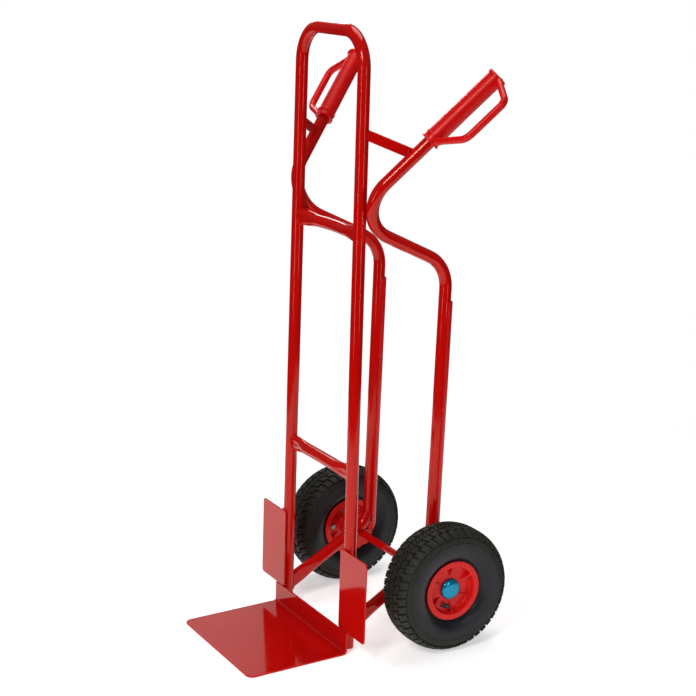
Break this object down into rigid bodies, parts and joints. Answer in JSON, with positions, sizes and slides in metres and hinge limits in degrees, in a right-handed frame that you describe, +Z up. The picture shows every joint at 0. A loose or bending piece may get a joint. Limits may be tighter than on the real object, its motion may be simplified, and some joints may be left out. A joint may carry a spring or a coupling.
{
  "type": "hand truck",
  "caption": "Two-wheeled hand truck with a bent-tube frame, loop-guard grips, a folded toe plate, load wings and pneumatic wheels.",
  "frame": {"origin": "on the floor, midway between the front edge of the toe plate and the back of the wheels, on the truck's centre plane", "axes": "+Z up, +Y to the rear (towards the person pushing), +X to that person's left"},
  "size_m": [0.659, 0.5468, 1.245],
  "materials": {
    "red_paint": "glossy powder coat",
    "grip_red": "satin moulded plastic",
    "rim_red": "semi-gloss moulded plastic",
    "tyre_rubber": "matte black rubber",
    "black_rubber": "matte black rubber",
    "blue_metal": "glossy blue plated steel",
    "zinc_steel": "zinc plated",
    "nylon": "natural nylon"
  },
  "bodies": {
    "frame": {"front_frame_tube": "red_paint", "upper_crossbar": "red_paint", "lower_crossbar": "red_paint", "toe_plate": "red_paint", "axle": "red_paint", "left_side_tube": "red_paint", "right_side_tube": "red_paint", "left_handle_tie_bar": "red_paint", "right_handle_tie_bar": "red_paint", "left_grip": "grip_red", "right_grip": "grip_red", "left_wing_plate": "red_paint", "right_wing_plate": "red_paint", "left_axle_bracket": "red_paint", "right_axle_bracket": "red_paint", "left_skid_rail": "rim_red", "right_skid_rail": "rim_red", "left_foot_plug": "black_rubber", "right_foot_plug": "black_rubber", "left_outer_washer": "zinc_steel", "left_inner_washer": "zinc_steel", "left_spacer_sleeve": "red_paint", "left_axle_cap": "blue_metal", "right_outer_washer": "zinc_steel", "right_inner_washer": "zinc_steel", "right_spacer_sleeve": "red_paint", "right_axle_cap": "blue_metal"},
    "left_wheel": {"left_wheel_rim_bolt_1": "zinc_steel", "left_wheel_rim_bolt_2": "zinc_steel", "left_wheel_rim_bolt_3": "zinc_steel", "left_wheel_tyre": "tyre_rubber", "left_wheel_inner_tube": "black_rubber", "left_wheel_outer_rim": "rim_red", "left_wheel_inner_rim": "rim_red", "left_wheel_valve": "black_rubber", "left_wheel_valve_cap": "black_rubber", "left_wheel_hub_sleeve": "zinc_steel", "left_wheel_roller_bearing": "nylon"},
    "right_wheel": {"right_wheel_rim_bolt_1": "zinc_steel", "right_wheel_rim_bolt_2": "zinc_steel", "right_wheel_rim_bolt_3": "zinc_steel", "right_wheel_tyre": "tyre_rubber", "right_wheel_inner_tube": "black_rubber", "right_wheel_outer_rim": "rim_red", "right_wheel_inner_rim": "rim_red", "right_wheel_valve": "black_rubber", "right_wheel_valve_cap": "black_rubber", "right_wheel_hub_sleeve": "zinc_steel", "right_wheel_roller_bearing": "nylon"}
  },
  "joints": [
    {"name": "left_wheel_spin", "type": "hinge", "parent": "frame", "child": "left_wheel", "pos_m": [0.2079, 0.1434, 0.13], "axis": [1, 0, 0], "continuous": true},
    {"name": "right_wheel_spin", "type": "hinge", "parent": "frame", "child": "right_wheel", "pos_m": [-0.2079, 0.1434, 0.13], "axis": [1, 0, 0], "continuous": true}
  ]
}
